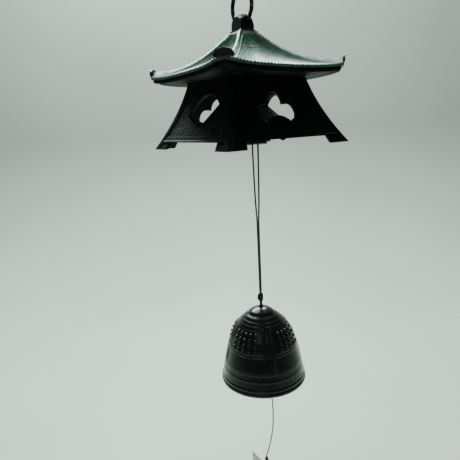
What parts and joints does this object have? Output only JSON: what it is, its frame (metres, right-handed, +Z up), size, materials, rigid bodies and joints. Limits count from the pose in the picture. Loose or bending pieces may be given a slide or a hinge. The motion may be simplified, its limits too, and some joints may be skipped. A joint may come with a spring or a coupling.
{
  "type": "wind chime",
  "caption": "Hanging iron wind chime: a lantern-shaped roof and windowed body on a wire ring, with a temple bell, clapper and paper strip on cords below.",
  "frame": {"origin": "the point inside the top of the wire ring that rests on a hook", "axes": "+Z up, along the cord; +X along the cross bar; the ring lies in the YZ plane"},
  "size_m": [0.0914, 0.0914, 0.4215],
  "materials": {
    "ring_wire": "blackened steel wire",
    "cast_iron_green": "cast iron with a green-black baked finish",
    "cast_iron_dark": "cast iron with a dark green-black baked finish",
    "plain_steel": "blackened steel",
    "black_lacquer": "glossy black lacquer on cast iron",
    "clapper_iron": "black painted iron",
    "cord": "black twisted cord",
    "tail_cord": "black thin cord",
    "brass": "pressed brass",
    "paper": "plain card"
  },
  "bodies": {
    "ring": {"hanging_ring": "ring_wire"},
    "lantern": {"roof_knob": "cast_iron_green", "roof_washer": "plain_steel", "roof_nut": "plain_steel", "roof": "cast_iron_green", "eave_frame": "cast_iron_green", "lantern_body": "cast_iron_dark", "cross_bar": "ring_wire"},
    "sling": {"hanging_cord": "cord", "upper_knot": "cord"},
    "bell_hanger": {"bell_neck_cord": "cord", "inner_knot": "cord"},
    "bell": {"bell": "black_lacquer"},
    "clapper_line": {"clapper_cord": "cord"},
    "clapper": {"clapper": "clapper_iron", "clapper_knot": "cord"},
    "tail": {"tail_cord": "tail_cord", "tail_knot": "tail_cord"},
    "strip": {"strip_loop": "tail_cord", "strip_eyelet": "brass", "paper_strip": "paper"}
  },
  "joints": [
    {"name": "lantern_rock", "type": "hinge", "parent": "ring", "child": "lantern", "pos_m": [0, 0, -0.01875], "axis": [0, 1, 0], "range_deg": [-20, 20]},
    {"name": "cord_swing", "type": "hinge", "parent": "lantern", "child": "sling", "pos_m": [0.006, 0, -0.0885], "axis": [1, 0, 0], "range_deg": [-12, 12]},
    {"name": "bell_swing", "type": "hinge", "parent": "sling", "child": "bell_hanger", "pos_m": [0.006, 0, -0.19854], "axis": [0, 1, 0], "range_deg": [-15, 15]},
    {"name": "bell_spin", "type": "hinge", "parent": "bell_hanger", "child": "bell", "pos_m": [0.006, 0, -0.2032], "axis": [0, 0, 1], "continuous": true},
    {"name": "clapper_swing", "type": "hinge", "parent": "bell_hanger", "child": "clapper_line", "pos_m": [0.006, 0, -0.2113], "axis": [1, 0, 0], "range_deg": [-18, 18]},
    {"name": "clapper_tilt", "type": "hinge", "parent": "clapper_line", "child": "clapper", "pos_m": [0.006, 0, -0.2439], "axis": [0, 1, 0], "range_deg": [-15, 15]},
    {"name": "tail_swing", "type": "hinge", "parent": "clapper", "child": "tail", "pos_m": [0.006, 0, -0.2515], "axis": [0, 1, 0], "range_deg": [-20, 20]},
    {"name": "strip_twist", "type": "hinge", "parent": "tail", "child": "strip", "pos_m": [0.006, 0, -0.3314], "axis": [0, 0, 1], "continuous": true}
  ]
}
